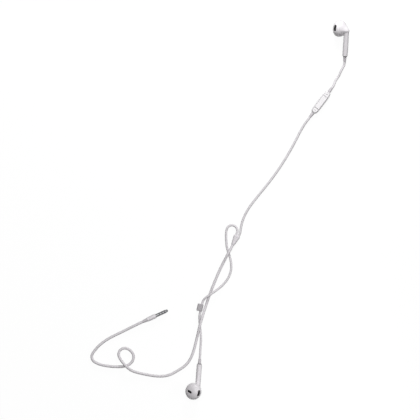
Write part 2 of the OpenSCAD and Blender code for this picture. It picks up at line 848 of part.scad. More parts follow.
// The ring of a tube at one point of its route
function tube_ring(p, i, r) = let (
    ahead = heading(p, i),
    across = unit(cross(ahead, [0, 0, 1])),
    up = cross(across, ahead)
) [for (k = [0:cord_sides - 1]) let (a = 360 * k / cord_sides)
    p[i] + r * (cos(a) * across + sin(a) * up)];

module tube(p, r) {
    rings = len(p);
    points = [for (i = [0:rings - 1]) each tube_ring(p, i, r)];
    faces = concat(
        [[for (k = [0:cord_sides - 1]) k]],
        [for (i = [0:rings - 2], k = [0:cord_sides - 1]) let (next = (k + 1) % cord_sides) [
            i * cord_sides + k, (i + 1) * cord_sides + k,
            (i + 1) * cord_sides + next, i * cord_sides + next
        ]],
        [[for (k = [cord_sides - 1:-1:0]) (rings - 1) * cord_sides + k]]
    );
    color(white) polyhedron(points, faces);
}

// ---- The whole object ----

at_right() front_shell();  // right_front_shell
at_right() rear_shell();  // right_rear_shell
at_right() nozzle_mesh();  // right_nozzle_mesh
at_right() face_vent_mesh();  // right_face_vent_mesh
at_right() driver_gasket();  // right_driver_gasket
at_right() driver_frame();  // right_driver_frame
at_right() diaphragm();  // right_diaphragm
at_right() voice_coil();  // right_voice_coil
at_right() driver_yoke();  // right_driver_yoke
at_right() magnet();  // right_magnet
at_right() pole_plate();  // right_pole_plate
at_right() terminal_board();  // right_terminal_board
at_right() hookup_wires();  // right_hookup_wires
at_right() cable_anchor();  // right_cable_anchor
at_right() stem_end_plug();  // right_stem_end_plug
at_right() strain_relief();  // right_strain_relief
at_left() front_shell();  // left_front_shell
at_left() rear_shell();  // left_rear_shell
at_left() nozzle_mesh();  // left_nozzle_mesh
at_left() face_vent_mesh();  // left_face_vent_mesh
at_left() driver_gasket();  // left_driver_gasket
at_left() driver_frame();  // left_driver_frame
at_left() diaphragm();  // left_diaphragm
at_left() voice_coil();  // left_voice_coil
at_left() driver_yoke();  // left_driver_yoke
at_left() magnet();  // left_magnet
at_left() pole_plate();  // left_pole_plate
at_left() terminal_board();  // left_terminal_board
at_left() hookup_wires();  // left_hookup_wires
at_left() cable_anchor();  // left_cable_anchor
at_left() stem_end_plug();  // left_stem_end_plug
at_left() strain_relief();  // left_strain_relief
at_remote() remote_back_cover();
at_remote() remote_front_cover();
at_remote() plus_button();
at_remote() centre_button();
at_remote() minus_button();
at_remote() remote_circuit_board();
at_remote() remote_dome_switches();
at_remote() remote_microphone();
at_remote() remote_microphone_mesh();
at_remote() remote_strain_relief();  // remote_upper_strain_relief
at_remote()  // remote_lower_strain_relief
    rotate([0, 0, 180]) remote_strain_relief();
at_splitter() splitter_half(1);  // splitter_front_half
at_splitter() splitter_half(-1);  // splitter_back_half
at_splitter() splitter_crimp();
at_slider() cord_slider();
at_plug() plug_tip();
at_plug() plug_ring_1();
at_plug() plug_ring_2();
at_plug() plug_sleeve();
at_plug() plug_insulators();
at_plug() plug_centre_pin();
at_plug() plug_handle();
at_plug() plug_strain_relief();
tube(main_points, main_r);  // main_cord
tube(left_points, branch_r);  // left_cord
tube(right_lower_points, branch_r);  // right_lower_cord
tube(right_upper_points, branch_r);  // right_upper_cord
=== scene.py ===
"""Wired earphones lying on a table: the looks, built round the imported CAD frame.

Sizes are in millimetres, in each piece's own frame, and a matrix lays the piece down in the shared frame.
Blender works in metres, so meshes, cords and the camera's place are multiplied by MM as they are made.
"""

import math

import bpy
import numpy as np
from mathutils import Matrix, Vector


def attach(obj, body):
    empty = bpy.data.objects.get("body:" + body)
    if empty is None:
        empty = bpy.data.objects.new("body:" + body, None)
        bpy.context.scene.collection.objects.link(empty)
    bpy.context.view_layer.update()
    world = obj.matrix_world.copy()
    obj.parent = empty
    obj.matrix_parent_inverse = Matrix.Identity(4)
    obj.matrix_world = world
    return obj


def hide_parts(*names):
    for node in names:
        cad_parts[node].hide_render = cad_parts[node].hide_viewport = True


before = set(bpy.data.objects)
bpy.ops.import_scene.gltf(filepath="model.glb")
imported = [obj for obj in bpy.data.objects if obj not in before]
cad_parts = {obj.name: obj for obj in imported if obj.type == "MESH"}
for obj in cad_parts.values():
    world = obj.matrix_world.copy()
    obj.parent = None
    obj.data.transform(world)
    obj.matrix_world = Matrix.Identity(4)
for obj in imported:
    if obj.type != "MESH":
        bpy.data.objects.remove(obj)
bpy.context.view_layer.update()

MM = 0.001

# ---- Sizes, the same as the CAD's ----

HEAD_R = 8.8
FACE_DEPTH, FACE_POWER = 6.2, 2.3
BOWL_DEPTH = 7.6
SHELL_WALL = 0.9
SEAM_DEPTH = 3.4
NOZZLE_L, NOZZLE_W = 6.8, 3.1
NOZZLE_SHIFT, NOZZLE_TILT = 1.7, 11    # its middle in front of the widest plane, and degrees from the side
VENT_L, VENT_W = 5.6, 2.4
VENT_TURN, VENT_PLACE = 23, (-1.1, 0.6)
STEM_R, STEM_WALL = 2.75, 0.75
HEAD_OFFSET, HEAD_HEIGHT = 8.3, 28.4
BOOT_L, BOOT_R, BOOT_END_R = 6, 1.7, 1.45
FLANGE = 0.62              # thickness of the dark flange between the stem and its boot, with its gap
LIP_R, LIP_WALL, LIP_LOW, LIP_TOP = 7.25, 0.8, -4.4, -2.8

REMOTE_L, REMOTE_W, REMOTE_H = 27.6, 7.6, 5
REMOTE_POWER, REMOTE_EDGE = 3.6, 1.9
REMOTE_WALL, REMOTE_RIM, REMOTE_ROOF = 0.6, 0.9, 1.2
REMOTE_BOOT_L, REMOTE_BOOT_R, REMOTE_BOOT_END_R, REMOTE_NECK_R = 5.5, 1.7, 1.4, 1.15
GROOVE_X, BUTTON_GAP, BUTTON_PROUD, BUTTON_LOW = 7.7, 0.15, 0.1, 3.25
MARK_X, MARK_L, MARK_W, MARK_DEPTH = 10.3, 1.9, 0.5, 0.12

SPLITTER_L, SPLITTER_W, SPLITTER_H, SPLITTER_END_W, SPLITTER_WALL = 11.8, 7, 3.4, 3.2, 0.7
SLIDER_L, SLIDER_W, SLIDER_H, SLIDER_TRAVEL = 7.6, 6.2, 4.2, 2.5
SLIDER_MARGIN = 0.5        # straight cord past each end of the slider's travel
SLIDER_BORE_X, SLIDER_BORE_R = -1.33, 1.32
SLIDER_SLOT_X, SLIDER_SLOT_R, SLIDER_MOUTH = 1.59, 1.25, 1.8

HANDLE_L, HANDLE_R, PLUG_BOOT_L = 10, 2.4, 5

MAIN_R, BRANCH_R = 1.4, 1.2
BRANCH_X = BRANCH_R + 0.35  # distance of each branch from the splitter's middle
LEAD = 2.5                 # straight stretch of cord out of each piece
TUCK = 1.2                 # how far a cord's end runs on inside its piece


# ---- Places, the same as the CAD's ----

def turn(x, y, z):
    """Rotation about X, then Y, then Z, in degrees."""
    angles = [math.radians(a) for a in (x, y, z)]
    return (Matrix.Rotation(angles[2], 4, "Z") @ Matrix.Rotation(angles[1], 4, "Y")
            @ Matrix.Rotation(angles[0], 4, "X"))


def at(point):
    """Move to a point."""
    return Matrix.Translation(point)


def head_reach(rise, depth, power):
    """How far the head reaches below its centre, for the rise of its face's axis."""
    dual = power / (power - 1)
    return ((HEAD_R * math.sqrt(1 - rise * rise)) ** dual + (depth * abs(rise)) ** dual) ** (1 / dual)


RIGHT_ROLL, LEFT_ROLL = 65, 31
RIGHT_YAW, LEFT_YAW = -3.3, -4.2
RIGHT_DROP = 9.05          # fall of the right stem's axis to the end of its strain relief
RIGHT_PITCH = math.degrees(math.asin(RIGHT_DROP / (HEAD_HEIGHT + BOOT_L)))
RIGHT_TURN = turn(RIGHT_PITCH - 90, 0, RIGHT_YAW) @ turn(0, 0, 90 + RIGHT_ROLL)
LEFT_TURN = turn(90, 0, LEFT_YAW) @ turn(0, 0, 90 + LEFT_ROLL)
HEAD_POINT = Vector((HEAD_OFFSET, 0, HEAD_HEIGHT))
RIGHT_HEAD = Vector((75.8, 190.3, head_reach((RIGHT_TURN @ Vector((1, 0, 0))).z, FACE_DEPTH, FACE_POWER)))
LEFT_HEAD = Vector((-77.46, -190.3, HEAD_OFFSET * math.cos(math.radians(LEFT_ROLL)) + STEM_R))
RIGHT_BUD = at(RIGHT_HEAD - RIGHT_TURN @ HEAD_POINT) @ RIGHT_TURN
LEFT_BUD = at(LEFT_HEAD - LEFT_TURN @ HEAD_POINT) @ LEFT_TURN @ Matrix.Scale(-1, 4, (0, 1, 0))

REMOTE = at((56.5, 112.7, 0)) @ turn(0, 0, 52.9)
REMOTE_MIDDLE = REMOTE_H / 2

SPLITTER_TILT = 7
SPLITTER_RISE = (SPLITTER_H / 2 * math.cos(math.radians(SPLITTER_TILT))
                 + SPLITTER_L * math.sin(math.radians(SPLITTER_TILT)))
SPLITTER = at((-36.5, -37.5, SPLITTER_RISE)) @ turn(0, 0, -26.4) @ turn(-SPLITTER_TILT, 0, 0)

SLIDER = at((-69.7, -98.9, 0.15)) @ turn(0, 0, 167.6)
PLUG = at((-116.9, -111.3, HANDLE_R)) @ turn(0, 0, 24.5) @ turn(0, 90, 0)

# ---- Cord routes: the middle of each cord, the same points as the CAD's ----

MAIN_ROUTE = [
    (-154.5, -129.2, 1.4), (-166, -135, 1.4), (-176, -142.2, 1.4), (-182, -149, 1.4),
    (-184.2, -153.6, 1.4), (-182.8, -158.2, 1.4), (-179, -161, 1.4), (-171, -163.5, 1.4),
    (-161, -164.7, 1.4), (-150.5, -164.4, 1.4), (-144.8, -162.3, 1.4), (-141, -158, 1.4),
    (-140.5, -152.5, 1.4), (-144, -147.5, 1.4), (-149.5, -145.3, 1.4), (-154.2, -147.3, 1.4),
    (-155.9, -152, 1.9), (-154, -157, 3.2), (-150.8, -161.3, 4.4), (-147, -165.3, 4.7),
    (-142.5, -168.6, 3.6), (-136, -171, 2), (-126, -173.2, 1.4), (-114, -174.8, 1.4),
    (-103, -173.5, 1.4), (-93.5, -168.7, 1.4), (-85, -162.5, 1.4), (-79.3, -153.8, 1.4),
    (-76, -143.7, 1.4), (-73.6, -134, 1.7), (-72, -127, 3.4), (-70.6, -121, 4.2),
    (-68.4, -113.5, 3.6), (-65.8, -105.3, 1.9), (-62.6, -95.5, 1.4), (-58.4, -84, 1.4),
    (-53, -70.7, 1.4), (-47.5, -58.5, 1.5), (-43.8, -51.3, 3), (-41, -45.8, 4.15),
]
LEFT_ROUTE = [
    (-31.3, -21.2, 1.2), (-33.2, -17.7, 1.2), (-37.2, -16.2, 1.2), (-41, -17.9, 1.2),
    (-42.8, -22.3, 1.2), (-43, -31, 1.2), (-42.1, -39.5, 1.2), (-39.8, -47.5, 1.2),
    (-37.8, -56, 1.2), (-38.2, -64.5, 1.2), (-41.3, -72.3, 1.2), (-46.5, -78.8, 1.7),
    (-53, -84.2, 3.6), (-58.8, -88.3, 4.55), (-61.8, -90.4, 4.4), (-64.8, -92.6, 3.6),
    (-66.8, -94.9, 2.7),
]
LEFT_ROUTE_END = [(-71, -115.5, 1.4), (-70.4, -124, 1.2), (-69.5, -134, 1.2), (-70, -145, 1.4)]
RIGHT_LOWER_ROUTE = [
    (-27.6, -19.5, 1.2), (-24.8, -9, 1.2), (-18.5, 2.8, 1.2), (-8.5, 15.8, 1.2), (2.5, 29.5, 1.2),
    (12.5, 43.2, 1.2), (21.5, 57.5, 1.2), (30.3, 73.3, 1.2), (38.8, 89, 1.7),
]
RIGHT_UPPER_ROUTE = [(71.3, 134.5, 1.6), (75.2, 140.5, 1.3), (78.2, 147, 2)]

# ---- Camera: straight above, with the long lens that the photograph's flat look needs ----

PICTURE_WIDTH = 441        # millimetres of table across the picture
PICTURE_CENTRE = (-60, -0.2)
PICTURE_HEIGHT = 3         # the cords' and pieces' usual height
SENSOR, LENS = 36, 400
VIEW_END = 50              # metres, well past the table

camera_data = bpy.data.cameras.new("camera")
camera_data.sensor_width = SENSOR
camera_data.lens = LENS
camera_data.clip_end = VIEW_END
camera = bpy.data.objects.new("camera", camera_data)
bpy.context.scene.collection.objects.link(camera)
camera.location = Vector((*PICTURE_CENTRE, PICTURE_WIDTH * LENS / SENSOR + PICTURE_HEIGHT)) * MM
bpy.context.scene.camera = camera
bpy.context.scene.view_settings.view_transform = "Standard"


# ---- Materials ----

WAVE_PERIOD = 2 * math.pi / 20         # of the wave texture at scale 1
NOISE_LOW, NOISE_HIGH = 0.25, 0.75     # the noise texture seldom leaves this range
MOTTLE_PITCH, SHEEN_PITCH = 6, 1.5     # patches of colour and of gloss on plastic, in millimetres


class Shader:
    """A material with one Principled shader, and short ways to add the nodes that feed it."""

    def __init__(self, name, **constants):
        self.material = bpy.data.materials.new(name)
        self.material.use_nodes = True
        self.tree = self.material.node_tree
        self.tree.nodes.clear()
        self.output = self.tree.nodes.new("ShaderNodeOutputMaterial")
        self.main = self.tree.nodes.new("ShaderNodeBsdfPrincipled")
        self.link(self.main.outputs["BSDF"], self.output.inputs["Surface"])
        for socket, value in constants.items():
            self.main.inputs[socket.replace("_", " ")].default_value = value
        self.place = self.tree.nodes.new("ShaderNodeTexCoord").outputs["Object"]

    def link(self, source, target):
        self.tree.links.new(source, target)

    def mapped(self, turned):
        """Coordinates along the axes of a piece that the rotation lays down."""
        node = self.tree.nodes.new("ShaderNodeMapping")
        node.inputs["Rotation"].default_value = turned.inverted().to_euler()
        self.link(self.place, node.inputs["Vector"])
        return node.outputs["Vector"]

    def noise(self, pitch, detail=2.0):
        """Noise whose lumps are about pitch millimetres wide."""
        node = self.tree.nodes.new("ShaderNodeTexNoise")
        node.inputs["Scale"].default_value = 1 / (pitch * MM)
        node.inputs["Detail"].default_value = detail
        self.link(self.place, node.inputs["Vector"])
        return node.outputs["Fac"]

    def waves(self, pitch, axis, vector):
        """Even ribs across one axis, pitch millimetres apart."""
        node = self.tree.nodes.new("ShaderNodeTexWave")
        node.bands_direction = axis
        node.inputs["Scale"].default_value = WAVE_PERIOD / (pitch * MM)
        self.link(vector, node.inputs["Vector"])
        return node.outputs["Fac"]

    def math(self, operation, a, b):
        """A sum, product or the like of two numbers or sockets."""
        node = self.tree.nodes.new("ShaderNodeMath")
        node.operation = operation
        for socket, value in zip(node.inputs, (a, b)):
            if isinstance(value, (int, float)):
                socket.default_value = value
            else:
                self.link(value, socket)
        return node.outputs["Value"]

    def blend(self, factor, low, high):
        """A colour between low and high."""
        node = self.tree.nodes.new("ShaderNodeMix")
        node.data_type = "RGBA"
        self.link(factor, node.inputs["Factor"])
        node.inputs[6].default_value = (*low, 1)
        node.inputs[7].default_value = (*high, 1)
        return node.outputs[2]

    def span(self, factor, low, high):
        """A number between low and high."""
        node = self.tree.nodes.new("ShaderNodeMapRange")
        node.inputs["From Min"].default_value = NOISE_LOW
        node.inputs["From Max"].default_value = NOISE_HIGH
        node.inputs["To Min"].default_value = low
        node.inputs["To Max"].default_value = high
        self.link(factor, node.inputs["Value"])
        return node.outputs["Result"]

    def bump(self, height, depth):
        """Relief of the given depth in millimetres."""
        node = self.tree.nodes.new("ShaderNodeBump")
        node.inputs["Distance"].default_value = depth * MM
        self.link(height, node.inputs["Height"])
        self.link(node.outputs["Normal"], self.main.inputs["Normal"])


def moulded(name, colour, roughness, grain, depth, spread=0.012, gloss=0.5):
    """Moulded plastic or rubber: faint mottling, uneven gloss and a fine skin texture.

    Grain and depth are the skin's pitch and relief in millimetres, spread is how far the colour varies, and
    gloss is the shader's specular level.
    """
    paint = Shader(name, Specular_IOR_Level=gloss)
    low = [c * (1 - spread) for c in colour]
    high = [min(1, c * (1 + spread)) for c in colour]
    paint.link(paint.blend(paint.noise(MOTTLE_PITCH), low, high), paint.main.inputs["Base Color"])
    sheen = paint.span(paint.noise(SHEEN_PITCH, 3), roughness * 0.9, roughness * 1.12)
    paint.link(sheen, paint.main.inputs["Roughness"])
    paint.bump(paint.noise(grain, 3), depth)
    return paint.material


def woven(name, turned, axes, pitch):
    """Fine black mesh cloth: two sets of threads that cross."""
    cloth = Shader(name, Specular_IOR_Level=0.2)
    vector = cloth.mapped(turned)
    warp, weft = [cloth.waves(pitch, axis, vector) for axis in axes]
    thread = cloth.math("MAXIMUM", warp, weft)
    shade = cloth.math("MULTIPLY", thread, cloth.span(cloth.noise(0.8), 0.8, 1))
    colour = cloth.blend(shade, (0.003, 0.003, 0.003), (0.018, 0.017, 0.018))
    cloth.link(colour, cloth.main.inputs["Base Color"])
    cloth.link(cloth.span(cloth.noise(0.6), 0.5, 0.7), cloth.main.inputs["Roughness"])
    cloth.bump(thread, pitch * 0.3)
    return cloth.material


def metal(name, colour, roughness, turned=None, pitch=0.0):
    """Plated or bare metal. With the matrix of a turned piece, it has the fine marks of turning."""
    finish = Shader(name, Metallic=1)
    low = [c * 0.93 for c in colour]
    finish.link(finish.blend(finish.noise(2.5), low, colour), finish.main.inputs["Base Color"])
    sheen = finish.span(finish.noise(0.7, 4), roughness * 0.8, roughness * 1.25)
    finish.link(sheen, finish.main.inputs["Roughness"])
    if turned is None:
        finish.bump(finish.noise(0.4, 3), 0.004)
    else:
        finish.bump(finish.waves(pitch, "Z", finish.mapped(turned)), 0.003)
    return finish.material


COVER_LIT_WHITE = (0.94, 0.92, 0.94)       # the remote's and buttons' white: the shells' plastic, made brighter to paint the stronger light that falls on them
CLOTH_PITCH, PORT_CLOTH_PITCH = 0.28, 0.2
shell_white = moulded("glossy_white_plastic", (0.87, 0.84, 0.87), 0.26, 0.5, 0.0015, gloss=0.3)
remote_white = moulded("satin_white_cover", COVER_LIT_WHITE, 0.3, 0.5, 0.0015, spread=0.006, gloss=0.3)
button_white = moulded("satin_white_plastic", COVER_LIT_WHITE, 0.34, 0.3, 0.002, spread=0.006, gloss=0.3)
# The splitter is the same white plastic as the shells; its darker colour is painted shade
splitter_shaded_white = moulded("matt_white_plastic_painted_shade", (0.74, 0.71, 0.74), 0.4, 0.4, 0.002, gloss=0.3)
boot_white = moulded("soft_white_rubber", (0.68, 0.65, 0.68), 0.52, 0.25, 0.006, gloss=0.2)
cord_white = moulded("white_cord_jacket", (0.82, 0.79, 0.82), 0.5, 0.35, 0.005, spread=0.02, gloss=0.2)
# The slider is white plastic like the shells; its grey colour is painted shade, for the dim light it gets
slider_shaded_white = moulded("slider_white_painted_shade", (0.43, 0.41, 0.43), 0.36, 0.4, 0.003, gloss=0.3)
mark_grey = moulded("grey_paint", (0.3, 0.29, 0.3), 0.5, 0.2, 0.002, spread=0.03)
dark_plastic = moulded("dark_grey_plastic", (0.03, 0.03, 0.032), 0.45, 0.4, 0.004, spread=0.08)
board_green = moulded("green_board", (0.02, 0.1, 0.05), 0.4, 0.6, 0.004, spread=0.1)
film_cream = moulded("cream_film", (0.7, 0.62, 0.4), 0.35, 0.5, 0.004, spread=0.05)
# The contacts' base colour is far darker than nickel: painted shade, for the dim reflections on the plug
shaded_contact_metal = metal("nickel_contacts_painted_shade", (0.17, 0.17, 0.175), 0.26, PLUG, 0.18)
bare_metal = metal("steel", (0.5, 0.5, 0.51), 0.3)
magnet_metal = metal("plated_steel", (0.6, 0.6, 0.6), 0.25)
copper_metal = metal("copper", (0.8, 0.38, 0.2), 0.3)
meshes = {
    f"{side}_{part}": woven(f"{side}_{part}_cloth", turned, axes, CLOTH_PITCH)
    for side, turned in (("right", RIGHT_TURN), ("left", LEFT_TURN))
    for part, axes in (("nozzle_mesh", "XZ"), ("face_vent_mesh", "YZ"))
}
meshes["remote_microphone_mesh"] = woven("remote_microphone_cloth", REMOTE, "XY", PORT_CLOTH_PITCH)


# ---- Cords ----

CORD_STEP = 0.7            # usual distance between two points of a cord's line
SLIDER_STEP = 0.5          # length of the straight end of cord on each side of the slider


def clamped_spline(points):
    """A smooth curve through the points, which sets out and arrives along its first and last pair."""
    knots = np.array(points, float)
    gaps = np.linalg.norm(np.diff(knots, axis=0), axis=1)
    system, right = np.eye(len(knots)), np.zeros((len(knots), 3))
    right[0], right[-1] = (knots[1] - knots[0]) / gaps[0], (knots[-1] - knots[-2]) / gaps[-1]
    for i in range(1, len(knots) - 1):
        before, after = gaps[i - 1], gaps[i]
        system[i, i - 1:i + 2] = after, 2 * (before + after), before
        right[i] = 3 * (after * (knots[i] - knots[i - 1]) / before
                        + before * (knots[i + 1] - knots[i]) / after)
    slope = np.linalg.solve(system, right)
    stretches = [knots[:1]]
    for i, gap in enumerate(gaps):
        count = max(2, math.ceil(gap / CORD_STEP))
        u = (np.arange(1, count + 1) / count)[:, None]
        stretches.append(
            (2 * u**3 - 3 * u**2 + 1) * knots[i] + (u**3 - 2 * u**2 + u) * gap * slope[i]
            + (3 * u**2 - 2 * u**3) * knots[i + 1] + (u**3 - u**2) * gap * slope[i + 1])
    return np.concatenate(stretches)


def way_out(matrix, start, direction):
    """Where a cord leaves its piece: a point inside it, and one straight out from it."""
    start, direction = Vector(start), Vector(direction)
    return [tuple(matrix @ (start - TUCK * direction)), tuple(matrix @ (start + LEAD * direction))]


def way_in(matrix, end, direction):
    """Where a cord comes into its piece: the same two points the other way round."""
    return way_out(matrix, end, direction)[::-1]


def cord(name, node, line, radius):
    """A round cord along a line of points, never lower than the table."""
    line = np.array(line)
    line[:, 2] = np.maximum(line[:, 2], radius)
    data = bpy.data.curves.new(name, "CURVE")
    data.dimensions = "3D"
    spline = data.splines.new("POLY")
    spline.points.add(len(line) - 1)
    for point, place in zip(spline.points, line * MM):
        point.co = (*place, 1)
    data.bevel_depth = radius * MM
    data.bevel_resolution = 4
    data.use_fill_caps = True
    piece = bpy.data.objects.new(name, data)
    bpy.context.scene.collection.objects.link(piece)
    data.materials.append(cord_white)
    spline.use_smooth = True
    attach(piece, "root")
    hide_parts(node)


OUT = (0, 0, -1)
bud_end = ((0, 0, -BOOT_L), OUT)
remote_reach = REMOTE_L / 2 + REMOTE_BOOT_L
remote_upper_end = ((remote_reach, 0, REMOTE_MIDDLE), (1, 0, 0))
remote_lower_end = ((-remote_reach, 0, REMOTE_MIDDLE), (-1, 0, 0))
splitter_start = ((0, 0, 0), (0, -1, 0))
splitter_left = ((-BRANCH_X, SPLITTER_L, 0), (0, 1, 0))
splitter_right = ((BRANCH_X, SPLITTER_L, 0), (0, 1, 0))
plug_back = ((0, 0, -HANDLE_L - PLUG_BOOT_L), OUT)

main_line = clamped_spline([*way_out(PLUG, *plug_back), *MAIN_ROUTE, *way_in(SPLITTER, *splitter_start)])
slider_in = SLIDER @ Vector((SLIDER_BORE_X, -SLIDER_MARGIN, SLIDER_H / 2))
slider_out = SLIDER @ Vector((SLIDER_BORE_X, SLIDER_L + SLIDER_TRAVEL + SLIDER_MARGIN, SLIDER_H / 2))
slider_step = (slider_out - slider_in).normalized() * SLIDER_STEP
left_line = np.concatenate([
    clamped_spline([*way_out(SPLITTER, *splitter_left), *LEFT_ROUTE, slider_in, slider_in + slider_step]),
    clamped_spline([slider_out - slider_step, slider_out, *LEFT_ROUTE_END, *way_in(LEFT_BUD, *bud_end)]),
])
right_lower_line = clamped_spline(
    [*way_out(SPLITTER, *splitter_right), *RIGHT_LOWER_ROUTE, *way_in(REMOTE, *remote_lower_end)])
right_upper_line = clamped_spline(
    [*way_out(REMOTE, *remote_upper_end), *RIGHT_UPPER_ROUTE, *way_in(RIGHT_BUD, *bud_end)])


# ---- Shapes as distance fields, and the mesh of their surface ----

def smooth_max(a, b, k):
    """The larger of two distances, with the edge between them rounded over about k."""
    h = np.maximum(k - np.abs(a - b), 0) / k
    return np.maximum(a, b) + h * h * k / 4


def smooth_min(a, b, k):
    """The smaller of two distances, with the corner between them filled over about k."""
    return -smooth_max(-a, -b, k)


def from_frame(points, matrix):
    """The points in the frame that the matrix lays down."""
    inverse = np.array(matrix.inverted())
    return points @ inverse[:3, :3].T + inverse[:3, 3]


def super_round(radial, axial, a, b, power):
    """Distance from a superellipse with half axes a and b."""
    x, y = np.maximum(np.abs(radial) / a, 1e-6), np.maximum(np.abs(axial) / b, 1e-6)
    size = (x**power + y**power) ** (1 / power)
    slope = size ** (1 - power) * np.hypot(x ** (power - 1) / a, y ** (power - 1) / b)
    return (size - 1) / slope


def stadium(along, across, length, width):
    """Distance from a flat outline with two round ends."""
    return np.hypot(np.maximum(np.abs(along) - (length - width) / 2, 0), across) - width / 2


def rounded_box(x, y, half_x, half_y, r):
    """Distance from a rectangle with rounded corners."""
    dx, dy = np.abs(x) - half_x + r, np.abs(y) - half_y + r
    return np.hypot(np.maximum(dx, 0), np.maximum(dy, 0)) + np.minimum(np.maximum(dx, dy), 0) - r


def project(field, points, times=3, reach=0.002, furthest=0.2):
    """Moves the points onto the surface where the field is 0, by no more than the furthest move each time."""
    steps = np.eye(3) * reach
    for _ in range(times):
        slope = np.stack([field(points + s) - field(points - s) for s in steps], 1) / (2 * reach)
        move = field(points) / np.maximum((slope**2).sum(1), 0.1)
        points = points - np.clip(move, -furthest, furthest)[:, None] * slope
    return points


def surface_of(field, low, high, step, relax=3):
    """Closed quad mesh of the surface where the field is 0: one vertex in each cell that it crosses.

    Each round of relaxing moves a vertex halfway to the middle of its neighbours, and back to the surface.
    """
    low = np.array(low, float)
    counts = np.ceil((np.array(high) - low) / step).astype(int) + 1
    axes = [low[k] + step * np.arange(counts[k]) for k in range(3)]
    value = field(np.stack(np.meshgrid(*axes, indexing="ij"), -1).reshape(-1, 3)).reshape(counts)
    total, hits, quads = np.zeros((*counts, 3)), np.zeros(counts), []
    for k in range(3):
        u, v = (k + 1) % 3, (k + 2) % 3
        near = np.take(value, range(counts[k] - 1), k)
        far = np.take(value, range(1, counts[k]), k)
        start = np.argwhere((near < 0) != (far < 0))
        a, b = near[tuple(start.T)], far[tuple(start.T)]
        crossing = start.astype(float)
        crossing[:, k] += a / (a - b)
        cells = []
        for du, dv in ((0, 0), (-1, 0), (-1, -1), (0, -1)):
            cell = start.copy()
            cell[:, u] += du
            cell[:, v] += dv
            np.add.at(total, tuple(cell.T), crossing)
            np.add.at(hits, tuple(cell.T), 1)
            cells.append(np.ravel_multi_index(tuple(cell.T), counts))
        quad = np.stack(cells, 1)
        quads.append(np.where((a < 0)[:, None], quad, quad[:, ::-1]))
    quads = np.concatenate(quads)
    used, index = np.unique(quads, return_inverse=True)
    quads = index.reshape(quads.shape)
    points = low + step * (total.reshape(-1, 3)[used] / hits.reshape(-1)[used][:, None])
    points = project(field, points)
    for _ in range(relax):
        mean, seen = np.zeros_like(points), np.zeros(len(points))
        for i in range(4):
            np.add.at(mean, quads[:, i], points[quads[:, (i + 1) % 4]] + points[quads[:, (i + 3) % 4]])
            np.add.at(seen, quads[:, i], 2)
        points = project(field, points + 0.5 * (mean / seen[:, None] - points), 2)
    return points, quads


def lathe(profile, sides=48):
    """Closed mesh turned about Z from (radius, height) points that run from axis to axis."""
    points, faces, rings = [], [], []
    for r, z in profile:
        if r == 0:
            rings.append([len(points)])
            points.append((0, 0, z))
        else:
            rings.append(list(range(len(points), len(points) + sides)))
            points += [(r * math.cos(2 * math.pi * i / sides), r * math.sin(2 * math.pi * i / sides), z)
                       for i in range(sides)]
    for low, high in zip(rings, rings[1:]):
        for i in range(sides):
            j = (i + 1) % sides
            corners = [low[i % len(low)], low[j % len(low)], high[j % len(high)], high[i % len(high)]]
            faces.append(list(dict.fromkeys(corners)))
    return np.array(points, float), faces


def piece(name, mesh, matrix, material, body, slot, nodes=(), sharp=None):
    """An object from a mesh in millimetres, laid down by its matrix.

    Edges between faces that turn by more than the sharp angle stay crisp.
    """
    points, faces = mesh
    placed = np.array(matrix)
    points = (points @ placed[:3, :3].T + placed[:3, 3]) * MM
    faces = [list(map(int, f)) for f in faces]
    if matrix.determinant() < 0:
        faces = [f[::-1] for f in faces]
    data = bpy.data.meshes.new(name)
    data.from_pydata(points.tolist(), [], faces)
    data.polygons.foreach_set("use_smooth", [True] * len(faces))
    data.materials.append(material)
    if sharp:
        data.set_sharp_from_angle(angle=math.radians(sharp))
    data.update()
    made = bpy.data.objects.new(name, data)
    bpy.context.scene.collection.objects.link(made)
    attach(made, body)
    if nodes:
        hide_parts(*nodes)
    return made


# ---- Earbuds ----

SEAM_GAP = 0.01            # half of the gap between two shells
SEAM_EDGE = 0.22           # rounding of the shells' edges at their seam
RIM_EDGE = 0.25            # rounding of the openings' rims
INNER_EDGE = 0.15          # rounding of the rear shell's inner edges
STEM_TOP = HEAD_HEIGHT - 2  # middle of the stem's round top
STEM_FILLET, TOP_FILLET = 1.6, 6       # blends between the head and the stem, below its top and at it
FILLET_RISE = (HEAD_HEIGHT - 5, HEAD_HEIGHT - 1)       # heights between which the blend grows
BORE_START = -1            # the stem's bore is open below
HEAD_FRAME = at(HEAD_POINT) @ turn(0, 90, 0)
NOZZLE_FRAME = at(HEAD_POINT + Vector((NOZZLE_SHIFT, 0, 0))) @ turn(NOZZLE_TILT - 90, 0, 0)
VENT_FRAME = at(HEAD_POINT + Vector((0, *VENT_PLACE))) @ turn(0, 90, 0) @ turn(0, 0, VENT_TURN)


def head_parts(points):
    """Distance from the head's axis and depth in front of its widest plane."""
    local = from_frame(points, HEAD_FRAME)
    return np.hypot(local[:, 0], local[:, 1]), local[:, 2]


def head_skin(radial, axial, inset):
    """Distance from the head's outside, or from its inside at an inset of the wall."""
    front = super_round(radial, axial, HEAD_R - inset, FACE_DEPTH - inset, FACE_POWER)
    rear = super_round(radial, axial, HEAD_R - inset, BOWL_DEPTH - inset, 2)
    return np.where(axial > 0, front, rear)


def opening(points, matrix, length, width, start):
    """Distance from a long hole that runs outwards from a start along the Z axis of its own frame."""
    local = from_frame(points, matrix)
    return np.maximum(stadium(local[:, 1], local[:, 0], length, width), start - local[:, 2])


def front_shell(points):
    """The face: a hollow dome with the sound opening and the vent."""
    radial, axial = head_parts(points)
    wall = np.maximum(head_skin(radial, axial, 0), -head_skin(radial, axial, SHELL_WALL))
    wall = smooth_max(wall, -SEAM_DEPTH + SEAM_GAP - axial, SEAM_EDGE)
    nozzle = opening(points, NOZZLE_FRAME, NOZZLE_L, NOZZLE_W, HEAD_R / 2)
    vent = opening(points, VENT_FRAME, VENT_L, VENT_W, FACE_DEPTH / 2)
    return smooth_max(smooth_max(wall, -nozzle, RIM_EDGE), -vent, RIM_EDGE)


